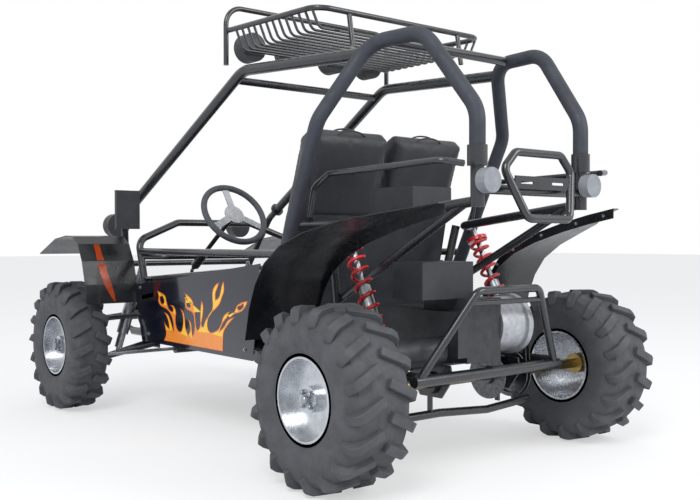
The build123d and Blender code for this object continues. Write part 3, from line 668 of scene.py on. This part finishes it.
def makeTyre(name, body, node, middle, radius, half, rimHalf):
    look = treadLook
    corner = half * sin(look["slant"]) / 2 + look["thick"] / 2  # how far a slanted lug's end lies from its middle
    crown = sqrt(radius ** 2 - corner ** 2)
    base = crown - look["deep"]
    bm = bmesh.new()
    addCarcass(bm, base, radius, half, rimHalf)
    for step in range(look["lugs"]):
        addLug(bm, base, crown, half, 1 if step % 2 else -1, 2 * pi * step / look["lugs"])
    bmesh.ops.translate(bm, verts=bm.verts[:], vec=middle)
    mesh = meshOf(bm, name)
    mesh.set_sharp_from_angle(angle=sharpTurn)
    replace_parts(addPiece(name, mesh, body, "tyre_rubber"), node)


for row in tyreTable:
    makeTyre(*row)
print("tyres made")


# Rear mudguards: a bent sheet over each wheel with a narrow flange turned down inside
guardLook = {
    "inner": 0.405, "thick": 0.003, "flange": 0.034,
    # along, up, outer edge
    "rows": ((-1.215, 0.858, 0.436), (-1.110, 0.838, 0.505), (-1.000, 0.812, 0.610), (-0.874, 0.774, 0.665),
             (-0.775, 0.733, 0.680), (-0.695, 0.678, 0.682), (-0.645, 0.610, 0.683), (-0.612, 0.530, 0.684),
             (-0.590, 0.430, 0.685)),
}


def makeGuard(name, side, look):
    bm = bmesh.new()
    inner = look["inner"]
    grid = [[bm.verts.new((x, side * y, high)) for y, high in
             ((inner, z - look["flange"]), (inner, z), (edge, z))] for x, z, edge in look["rows"]]
    for near, far in zip(grid, grid[1:]):
        for k in range(2):
            bm.faces.new((near[k], near[k + 1], far[k + 1], far[k]))
    bmesh.ops.recalc_face_normals(bm, faces=bm.faces[:])
    bmesh.ops.solidify(bm, geom=bm.faces[:], thickness=look["thick"])
    mesh = meshOf(bm, name)
    mesh.set_sharp_from_angle(angle=sharpTurn)
    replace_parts(addPiece(name, mesh, "chassis", "fender_black"), "rear_fenders")


makeGuard("guardLeft", 1, guardLook)
makeGuard("guardRight", -1, guardLook)
print("mudguards made")


# Floor, backdrop and light
studioLook = {
    "floorHalf": 40.0, "floorColour": "#fbfbfb", "glowShare": 0.55,  # the glow is for the camera alone
    "skyColour": "#eef2f8", "skyPower": 0.82,
}


def emptyTree(block):
    block.use_nodes = True
    block.node_tree.nodes.clear()
    return block.node_tree


def makeFloor(look):
    bm = bmesh.new()
    bmesh.ops.create_grid(bm, x_segments=2, y_segments=2, size=look["floorHalf"])
    floor = link(bpy.data.objects.new("floor", meshOf(bm, "floor", smooth=False)))
    paper = bpy.data.materials.new("seamlessPaper")
    tree = emptyTree(paper)
    white = linearColour(look["floorColour"])
    matt = addNode(tree, "BsdfDiffuse", {"Color": white})
    glow = addNode(tree, "Emission", {"Color": white, "Strength": 1.0})
    seen = addNode(tree, "LightPath", {}).outputs["Is Camera Ray"]
    share = addNode(tree, "Math", {"operation": "MULTIPLY", 0: seen, 1: look["glowShare"]})
    both = addNode(tree, "MixShader", {0: share.outputs[0], 1: matt.outputs[0], 2: glow.outputs[0]})
    addNode(tree, "OutputMaterial", {"Surface": both.outputs[0]})
    floor.data.materials.append(paper)


# White wherever the camera looks, mirrors or looks through, and a soft sky as light
def makeSky(look):
    world = bpy.data.worlds.new("studio")
    bpy.context.scene.world = world
    tree = emptyTree(world)
    rays = addNode(tree, "LightPath", {}).outputs
    seen = rays["Is Camera Ray"]
    for kind in ("Is Glossy Ray", "Is Transmission Ray"):
        seen = addNode(tree, "Math", {"operation": "MAXIMUM", 0: seen, 1: rays[kind]}).outputs[0]
    sky = addNode(tree, "Background", {"Color": linearColour(look["skyColour"]), "Strength": look["skyPower"]})
    plain = addNode(tree, "Background", {"Color": (1, 1, 1, 1), "Strength": 1.0})
    both = addNode(tree, "MixShader", {0: seen, 1: sky.outputs[0], 2: plain.outputs[0]})
    addNode(tree, "OutputWorld", {"Surface": both.outputs[0]})


lampTable = (
    # name, place, aim, size, watts
    ("keyLight", (-3.5, 4.5, 5.5), (0, 0, 0.7), 3.5, 260),
    ("tailLight", (-5.0, -2.5, 3.5), (-0.4, 0, 0.6), 3.0, 120),
)


def makeLamp(name, place, aim, size, watts):
    data = bpy.data.lights.new(name, "AREA")
    data.shape = "DISK"
    data.size = size
    data.energy = watts
    lamp = link(bpy.data.objects.new(name, data))
    turn = (Vector(aim) - Vector(place)).to_track_quat("-Z", "Y").to_matrix().to_4x4()
    lamp.matrix_world = Matrix.Translation(place) @ turn


makeFloor(studioLook)
makeSky(studioLook)
for row in lampTable:
    makeLamp(*row)
bpy.context.scene.view_settings.view_transform = "Standard"
print("studio lit")
